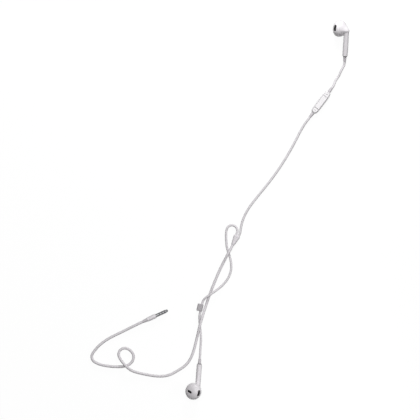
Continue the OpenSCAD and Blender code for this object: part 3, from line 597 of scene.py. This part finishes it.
def rear_shell(points):
    """The bowl with its lip, and the hollow stem that runs into it."""
    radial, axial = head_parts(points)
    out = np.hypot(points[:, 0], points[:, 1])
    over = np.maximum(points[:, 2] - STEM_TOP, 0)
    stem = np.hypot(out, over) - STEM_R
    bore = np.maximum(np.hypot(out, over) - STEM_R + STEM_WALL, BORE_START - points[:, 2])
    fillet = np.interp(points[:, 2], FILLET_RISE, (STEM_FILLET, TOP_FILLET))
    skin = smooth_min(head_skin(radial, axial, 0), stem, fillet)
    skin = smooth_max(skin, -points[:, 2], SEAM_EDGE * 2)
    skin = smooth_max(skin, axial + SEAM_DEPTH + SEAM_GAP, SEAM_EDGE)
    hollow = np.minimum(head_skin(radial, axial, SHELL_WALL), bore)
    wall = smooth_max(skin, -hollow, INNER_EDGE)
    lip = np.maximum(np.abs(radial - LIP_R + LIP_WALL / 2) - LIP_WALL / 2,
                     np.abs(axial - (LIP_LOW + LIP_TOP) / 2) - (LIP_TOP - LIP_LOW) / 2)
    return np.minimum(wall, lip)


BOOT_EDGE = 0.3            # rounding where a strain relief meets its piece
BOOT_GROOVE = 0.22         # depth of the groove near its end
BOOT_RIM_L = 0.9           # length of the groove and the rim after it
BOOT_STEPS = 6
BOOT_NECK_R = 1.2          # of the neck that sits in the stem, and in the plug's handle


def boot_profile(length, root_r, end_r, neck_r, neck_l, start=0.0):
    """Outline of a strain relief, from its neck's end in the piece to the rim where the cord goes in."""
    first, groove = start + BOOT_EDGE, length - BOOT_RIM_L
    taper = [first + (groove - first) * k / BOOT_STEPS for k in range(BOOT_STEPS + 1)]
    return [
        (0, neck_l), (neck_r, neck_l), (neck_r, -start),
        (root_r - BOOT_EDGE, -start), (root_r - 0.1, -start - 0.08),
        *[(root_r + (end_r - root_r) * depth / length, -depth) for depth in taper],
        (end_r - BOOT_GROOVE, -groove - 0.12), (end_r - BOOT_GROOVE, -groove - 0.32),
        (end_r, -groove - 0.45), (end_r, -length + 0.15), (end_r - 0.12, -length), (0, -length),
    ]


EAR_STEP = 0.28            # size of the cells in which the earbuds' surfaces are found
BOOT_SHARP = 40            # degrees
# Boxes that hold the surfaces with some room to spare
FACE_BOX = (HEAD_OFFSET - 4.2, -9.8, HEAD_HEIGHT - 9.8), (HEAD_OFFSET + 7.8, 9.8, HEAD_HEIGHT + 9.8)
BACK_BOX = (-3.6, -9.6, -0.8), (HEAD_OFFSET - 2.1, 9.6, HEAD_HEIGHT + 9.6)

front_mesh = surface_of(front_shell, *FACE_BOX, EAR_STEP)
rear_mesh = surface_of(rear_shell, *BACK_BOX, EAR_STEP)
ear_boot = lathe(boot_profile(BOOT_L, BOOT_R, BOOT_END_R, BOOT_NECK_R, 1.5, FLANGE))
for side, matrix in (("right", RIGHT_BUD), ("left", LEFT_BUD)):
    piece(f"{side}_face", front_mesh, matrix, shell_white, "root", "shell", [f"{side}_front_shell"])
    piece(f"{side}_back", rear_mesh, matrix, shell_white, "root", "shell", [f"{side}_rear_shell"])
    piece(f"{side}_boot", ear_boot, matrix, boot_white, "root", "relief",
          [f"{side}_strain_relief"], sharp=BOOT_SHARP)

# ---- Remote ----

CAP_EDGE, CAP_END_EDGE, CAP_FOOT_EDGE = 0.35, 0.5, 0.2     # rounding of the buttons' edges
COVER_EDGE = 0.3           # rounding of the rim round the buttons
PORT_X, PORT_R, PORT_EDGE = -4, 0.5, 0.2       # the microphone's port
MARK_EDGE = 0.1            # rounding of the engraved marks' edges
PAINT_LEVEL = 0.6          # share of a mark's depth that is left above its paint
PAINT_T, PAINT_GAP = 0.1, 0.03         # how far the paint runs into the cap, and its gap to the mark's sides
COVER_STEP, CAP_STEP, MARK_STEP = 0.2, 0.14, 0.07          # sizes of the cells of their surfaces
# Boxes that hold the surfaces with some room to spare
HALF_L, HALF_W = REMOTE_L / 2 + 0.5, REMOTE_W / 2 + 0.5
FRONT_BOX = (-HALF_L, -HALF_W, 1.9), (HALF_L, HALF_W, 5.6)
BACK_COVER_BOX = (-HALF_L, -HALF_W, -0.5), (HALF_L, HALF_W, 3)
CAP_ROOM = 0.4
CAP_REACH = REMOTE_W / 2 - REMOTE_RIM + CAP_ROOM
CAP_LOW, CAP_HIGH = BUTTON_LOW - CAP_ROOM, 5.6
MARK_REACH, MARK_LOW, MARK_HIGH = 1.4, 4.4, 5.4


def remote_plan(points):
    """Distance from the remote's outline, seen from above."""
    return super_round(points[:, 0], points[:, 1], REMOTE_L / 2, REMOTE_W / 2, REMOTE_POWER)


def remote_skin(points, inset=0.0):
    """The remote's whole outside, with its edges rounded all round."""
    r = REMOTE_EDGE - inset
    across = np.maximum(remote_plan(points) + inset, -REMOTE_W / 2) + r
    up = np.abs(points[:, 2] - REMOTE_MIDDLE) - REMOTE_H / 2 + inset + r
    return (np.hypot(np.maximum(across, 0), np.maximum(up, 0)) + np.minimum(np.maximum(across, up), 0) - r)


def neck_hole(points):
    """The bore along the remote, in which the strain reliefs' necks sit."""
    return np.hypot(points[:, 1], points[:, 2] - REMOTE_MIDDLE) - REMOTE_NECK_R


def remote_front(points):
    """Upper cover: a shell under a rim, with one long opening for the three buttons."""
    wall = smooth_max(remote_skin(points), REMOTE_MIDDLE + SEAM_GAP - points[:, 2], SEAM_EDGE)
    hollow = np.maximum(remote_skin(points, REMOTE_WALL), points[:, 2] - REMOTE_H + REMOTE_ROOF)
    window = np.maximum(remote_plan(points) + REMOTE_RIM, REMOTE_H - 2 * REMOTE_ROOF - points[:, 2])
    wall = np.maximum(np.maximum(wall, -hollow), -neck_hole(points))
    return smooth_max(wall, -window, COVER_EDGE)


def remote_back(points):
    """Lower cover, with the microphone's port."""
    wall = smooth_max(remote_skin(points), points[:, 2] - REMOTE_MIDDLE + SEAM_GAP, SEAM_EDGE)
    wall = np.maximum(np.maximum(wall, -remote_skin(points, REMOTE_WALL)), -neck_hole(points))
    port = np.hypot(points[:, 0] - PORT_X, points[:, 1]) - PORT_R
    return smooth_max(wall, -port, PORT_EDGE)


def bar(points, middle, upright):
    """One stroke of a mark, as a flat outline."""
    along, across = points[:, 0] - middle, points[:, 1]
    if upright:
        along, across = across, along
    return stadium(along, across, MARK_L, MARK_W)


def mark(points, middle, strokes):
    """All strokes of a mark, as a flat outline."""
    return np.minimum.reduce([bar(points, middle, upright) for upright in strokes])


def button(low_x, high_x, middle, strokes):
    """Field of a button's cap between two ends, with its mark engraved round a middle."""
    def field(points):
        top = remote_skin(points) - BUTTON_PROUD
        sides = remote_plan(points) + REMOTE_RIM + BUTTON_GAP
        ends = np.abs(points[:, 0] - (low_x + high_x) / 2) - (high_x - low_x) / 2
        shape = smooth_max(smooth_max(top, sides, CAP_EDGE), ends, CAP_END_EDGE)
        shape = smooth_max(shape, BUTTON_LOW - points[:, 2], CAP_FOOT_EDGE)
        if strokes:
            cut = np.maximum(mark(points, middle, strokes), -(top + MARK_DEPTH))
            shape = smooth_max(shape, -cut, MARK_EDGE)
        return shape
    return field


def mark_inlay(middle, strokes):
    """Paint in the bottom of an engraved mark."""
    def field(points):
        skin = remote_skin(points) - BUTTON_PROUD
        layer = np.maximum(skin + MARK_DEPTH * PAINT_LEVEL, -(skin + MARK_DEPTH + PAINT_T))
        return np.maximum(layer, mark(points, middle, strokes) + PAINT_GAP)
    return field


BUTTONS = {                # name: (low end, high end, middle of its mark, strokes, body)
    "plus": (GROOVE_X + BUTTON_GAP, REMOTE_L, MARK_X, (False, True), "plus_key"),
    "centre": (-GROOVE_X + BUTTON_GAP, GROOVE_X - BUTTON_GAP, 0, (), "centre_key"),
    "minus": (-REMOTE_L, -GROOVE_X - BUTTON_GAP, -MARK_X, (True,), "minus_key"),
}
front_cover = surface_of(remote_front, *FRONT_BOX, COVER_STEP)
back_cover = surface_of(remote_back, *BACK_COVER_BOX, COVER_STEP)
remote_pieces = [
    piece("remote_front", front_cover, REMOTE, remote_white, "root", "shell", ["remote_front_cover"]),
    piece("remote_back", back_cover, REMOTE, remote_white, "root", "shell", ["remote_back_cover"]),
]
for name, (low_x, high_x, middle, strokes, body) in BUTTONS.items():
    field = button(low_x, high_x, middle, strokes)
    start, end = max(low_x, -HALF_L) - CAP_ROOM, min(high_x, HALF_L) + CAP_ROOM
    cap = surface_of(field, (start, -CAP_REACH, CAP_LOW), (end, CAP_REACH, CAP_HIGH), CAP_STEP)
    remote_pieces.append(
        piece(f"{name}_cap", cap, REMOTE, button_white, body, "button", [f"{name}_button"]))
    if strokes:
        inlay = surface_of(mark_inlay(middle, strokes), (middle - MARK_REACH, -MARK_REACH, MARK_LOW),
                           (middle + MARK_REACH, MARK_REACH, MARK_HIGH), MARK_STEP)
        remote_pieces.append(piece(f"{name}_mark", inlay, REMOTE, mark_grey, body, "button"))

remote_boot = lathe(boot_profile(REMOTE_BOOT_L, REMOTE_BOOT_R, REMOTE_BOOT_END_R, REMOTE_NECK_R, 1.9))
upper_frame = REMOTE @ at((REMOTE_L / 2, 0, REMOTE_MIDDLE)) @ turn(0, -90, 0)
lower_frame = REMOTE @ at((-REMOTE_L / 2, 0, REMOTE_MIDDLE)) @ turn(0, 90, 0)
upper_boot = piece("remote_upper_boot", remote_boot, upper_frame, boot_white, "root", "relief",
                   ["remote_upper_strain_relief"], sharp=BOOT_SHARP)
lower_boot = piece("remote_lower_boot", remote_boot, lower_frame, boot_white, "root", "relief",
                   ["remote_lower_strain_relief"], sharp=BOOT_SHARP)

# ---- Splitter ----

SPLITTER_EDGE = 1.6        # rounding of its long edges
SPLITTER_CORNER = 1.6      # rounding of its corners, seen from above
SPLITTER_SHOULDER = 1.5    # length of its wide end, before the taper
SPLITTER_STEP = 0.2        # size of the cells of its surface
SPLITTER_ROOM = 0.5        # what the box of its surface has to spare
SPLITTER_REACH = 4         # that box's half width


def splitter_outline(points, inset=0.0):
    """Distance from the plan, which widens from the main cord to the two branches."""
    x, y = np.abs(points[:, 0]), points[:, 1]
    slant = math.atan2((SPLITTER_W - SPLITTER_END_W) / 2, SPLITTER_L - SPLITTER_SHOULDER)
    side = (x - SPLITTER_END_W / 2) * math.cos(slant) - y * math.sin(slant)
    side = np.maximum(side, x - SPLITTER_W / 2)
    ends = np.maximum(-y, y - SPLITTER_L)
    return smooth_max(side, ends, SPLITTER_CORNER) + inset


def splitter_skin(points, inset=0.0):
    """The splitter's whole outside, or its inside at an inset of the wall."""
    r = SPLITTER_EDGE
    across = splitter_outline(points, inset) + r
    up = np.abs(points[:, 2]) - SPLITTER_H / 2 + inset + r
    return np.hypot(np.maximum(across, 0), np.maximum(up, 0)) + np.minimum(np.maximum(across, up), 0) - r


def splitter_half(side):
    """Field of the half on one side of the middle plane."""
    def field(points):
        wall = smooth_max(splitter_skin(points), SEAM_GAP - side * points[:, 2], SEAM_EDGE)
        return np.maximum(wall, -splitter_skin(points, SPLITTER_WALL))
    return field


for name, side in (("front", 1), ("back", -1)):
    low, high = sorted((-side * SPLITTER_ROOM, side * (SPLITTER_H / 2 + SPLITTER_ROOM)))
    half = surface_of(splitter_half(side), (-SPLITTER_REACH, -SPLITTER_ROOM, low),
                      (SPLITTER_REACH, SPLITTER_L + SPLITTER_ROOM, high), SPLITTER_STEP)
    piece(f"splitter_{name}", half, SPLITTER, splitter_shaded_white, "root", "shell", [f"splitter_{name}_half"])

# ---- Slider ----

SLIDER_EDGE, SLIDER_END_EDGE = 1.2, 0.7        # rounding of its long edges and of its ends
BORE_EDGE, MOUTH_EDGE = 0.2, 0.25              # rounding where the bore and the channel come out
SLIDER_CELL = 0.16         # size of the cells of its surface
SLIDER_BOX = (-3.6, -0.5, -0.4), (3.6, SLIDER_L + 0.5, SLIDER_H + 0.4)


def slider_field(points):
    """A rounded block with a bore for the left cord, and an open channel that the right one clips into."""
    x, y, z = points[:, 0], points[:, 1], points[:, 2] - SLIDER_H / 2
    outline = rounded_box(x, z, SLIDER_W / 2, SLIDER_H / 2, SLIDER_EDGE)
    block = smooth_max(outline, np.abs(y - SLIDER_L / 2) - SLIDER_L / 2, SLIDER_END_EDGE)
    bore = np.hypot(x - SLIDER_BORE_X, z) - SLIDER_BORE_R
    channel = np.minimum(np.hypot(x - SLIDER_SLOT_X, z) - SLIDER_SLOT_R,
                         np.maximum(np.abs(z) - SLIDER_MOUTH / 2, SLIDER_SLOT_X - x))
    return smooth_max(smooth_max(block, -bore, BORE_EDGE), -channel, MOUTH_EDGE)


slider_mesh = surface_of(slider_field, *SLIDER_BOX, SLIDER_CELL)
slider_clip = piece("slider_clip", slider_mesh, SLIDER, slider_shaded_white, "slider", "slider", ["cord_slider"])

# ---- Plug ----

SOCKET_R, SOCKET_L = 1.25, 0.6         # where the strain relief's neck goes in
MOUTH_R, MOUTH_L = 1.42, 0.5           # where the plug's root comes out
HANDLE_EDGE = 0.7                      # rounding of the handle's front edge
HANDLE_WAIST, WAIST_L = 0.16, 3.3      # how much narrower it is at the back, and over what length
HANDLE_SHARP = 50                      # degrees
QUARTER = [math.radians(15 * k) for k in range(7)]         # a quarter turn

handle = lathe([
    (0, -HANDLE_L + SOCKET_L), (SOCKET_R, -HANDLE_L + SOCKET_L), (SOCKET_R, -HANDLE_L),
    (HANDLE_R - 0.4, -HANDLE_L), (HANDLE_R - 0.25, -HANDLE_L + 0.12),
    *[(HANDLE_R - HANDLE_WAIST * math.cos(a), -HANDLE_L + 0.5 + WAIST_L * k / 6)
      for k, a in enumerate(QUARTER)],
    (HANDLE_R, -2), (HANDLE_R, -1),
    *[(HANDLE_R - HANDLE_EDGE + HANDLE_EDGE * math.cos(a), -HANDLE_EDGE + HANDLE_EDGE * math.sin(a))
      for a in QUARTER],
    (MOUTH_R + 0.06, 0), (MOUTH_R, -0.06), (MOUTH_R, -MOUTH_L), (0, -MOUTH_L),
])
plug_handle = piece("plug_grip", handle, PLUG, shell_white, "root", "shell", ["plug_handle"],
                    sharp=HANDLE_SHARP)
plug_relief = lathe(boot_profile(PLUG_BOOT_L, HANDLE_R - 0.5, MAIN_R + 0.12, BOOT_NECK_R, 1))
plug_boot = piece("plug_boot", plug_relief, PLUG @ at((0, 0, -HANDLE_L)), boot_white, "root", "relief",
                  ["plug_strain_relief"], sharp=BOOT_SHARP)

# ---- Finishes of the CAD nodes, those that show and those inside ----

NODE_FINISH = {            # name, without the side: material
    **meshes,
    "stem_end_plug": dark_plastic, "driver_gasket": dark_plastic, "driver_frame": dark_plastic,
    "diaphragm": film_cream, "voice_coil": copper_metal, "driver_yoke": magnet_metal,
    "magnet": magnet_metal, "pole_plate": magnet_metal, "terminal_board": board_green,
    "hookup_wires": copper_metal, "cable_anchor": bare_metal,
    "remote_circuit_board": board_green, "remote_dome_switches": bare_metal,
    "remote_microphone": bare_metal, "splitter_crimp": bare_metal,
    "plug_tip": shaded_contact_metal, "plug_ring_1": shaded_contact_metal, "plug_ring_2": shaded_contact_metal,
    "plug_sleeve": shaded_contact_metal, "plug_insulators": dark_plastic, "plug_centre_pin": shaded_contact_metal,
}
for name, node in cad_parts.items():
    part = name.removeprefix("right_").removeprefix("left_")
    finish = NODE_FINISH.get(name) or NODE_FINISH.get(part)
    if finish:
        node.data.materials.clear()
        node.data.materials.append(finish)

# ---- Cords along their lines ----

cord("main_cord_jacket", "main_cord", main_line, MAIN_R)
cord("left_cord_jacket", "left_cord", left_line, BRANCH_R)
cord("right_upper_cord_jacket", "right_upper_cord", right_upper_line, BRANCH_R)
cord("right_lower_cord_jacket", "right_lower_cord", right_lower_line, BRANCH_R)

# ---- Table, light and background ----

TABLE_SIZE = 14            # metres
TABLE_DROP = 0.00005       # metres, so that the table's face lies clear of the pieces' undersides
TABLE_GLOW = 1.03          # just enough for a clear white in the picture
TABLE_BOUNCE = 0.04        # how much of the light the table gives back to the earphones
TABLE_SHADOW = 0.1         # share of the table's white that a shadow can take away
AMBIENT = 0.04
WHITE = (1, 1, 1)
LAMPS = {                  # name: (strength, size in degrees, direction that it shines from)
    "key": (1.45, 40, (0, 0.15, 0.99)),
    "side": (0.2, 60, (0.8, 0, 0.6)),
}
PANELS = {                 # name: (watts, size, place, what it points at)
    "top": (2.6, 0.25, (0.07, 0.62, 0.3), (0.07, 0.18, 0)),
    "low": (0.07, 0.08, (0.09, -0.19, 0.13), (-0.075, -0.19, 0)),
}

for name, (strength, size, direction) in LAMPS.items():
    data = bpy.data.lights.new(name, "SUN")
    data.energy = strength
    data.angle = math.radians(size)
    lamp = bpy.data.objects.new(name, data)
    lamp.rotation_euler = Vector(direction).to_track_quat("Z", "Y").to_euler()
    bpy.context.scene.collection.objects.link(lamp)
for name, (power, size, place, target) in PANELS.items():
    data = bpy.data.lights.new(name, "AREA")
    data.energy, data.size = power, size
    lamp = bpy.data.objects.new(name, data)
    lamp.location = place
    lamp.rotation_euler = (Vector(place) - Vector(target)).to_track_quat("Z", "Y").to_euler()
    bpy.context.scene.collection.objects.link(lamp)


def seen_directly(tree):
    """1 for what the camera sees, straight or in a gloss or through glass, and 0 for the rest."""
    path = tree.nodes.new("ShaderNodeLightPath")
    value = path.outputs["Is Camera Ray"]
    for other in ("Is Glossy Ray", "Is Transmission Ray"):
        node = tree.nodes.new("ShaderNodeMath")
        node.operation = "MAXIMUM"
        tree.links.new(value, node.inputs[0])
        tree.links.new(path.outputs[other], node.inputs[1])
        value = node.outputs["Value"]
    return value


def mixed(tree, factor, first, second):
    """A shader between two others, by a number or by a socket."""
    node = tree.nodes.new("ShaderNodeMixShader")
    if isinstance(factor, float):
        node.inputs[0].default_value = factor
    else:
        tree.links.new(factor, node.inputs[0])
    tree.links.new(first, node.inputs[1])
    tree.links.new(second, node.inputs[2])
    return node.outputs["Shader"]


def shader(tree, kind, colour, **values):
    """A plain shader node of a kind."""
    node = tree.nodes.new(kind)
    node.inputs["Color"].default_value = (*colour, 1)
    for socket, value in values.items():
        node.inputs[socket].default_value = value
    return node.outputs[0]


table_mesh = bpy.data.meshes.new("table")
half = TABLE_SIZE / 2
table_corners = [(-half, -half, 0), (half, -half, 0), (half, half, 0), (-half, half, 0)]
table_mesh.from_pydata(table_corners, [], [(0, 1, 2, 3)])
table = bpy.data.objects.new("table", table_mesh)
table.location.z = -TABLE_DROP
bpy.context.scene.collection.objects.link(table)
table_paint = bpy.data.materials.new("table_paint")
table_paint.use_nodes = True
tree = table_paint.node_tree
tree.nodes.clear()
lit = shader(tree, "ShaderNodeBsdfDiffuse", WHITE)
glow = shader(tree, "ShaderNodeEmission", WHITE, Strength=TABLE_GLOW)
dull = shader(tree, "ShaderNodeBsdfDiffuse", (TABLE_BOUNCE,) * 3)
surface = mixed(tree, seen_directly(tree), dull, mixed(tree, TABLE_SHADOW, glow, lit))
tree.links.new(surface, tree.nodes.new("ShaderNodeOutputMaterial").inputs["Surface"])
table_mesh.materials.append(table_paint)

world = bpy.data.worlds.new("studio")
world.use_nodes = True
tree = world.node_tree
tree.nodes.clear()
studio = mixed(tree, seen_directly(tree),
               shader(tree, "ShaderNodeBackground", WHITE, Strength=AMBIENT),
               shader(tree, "ShaderNodeBackground", WHITE, Strength=1))
tree.links.new(studio, tree.nodes.new("ShaderNodeOutputWorld").inputs["Surface"])
bpy.context.scene.world = world
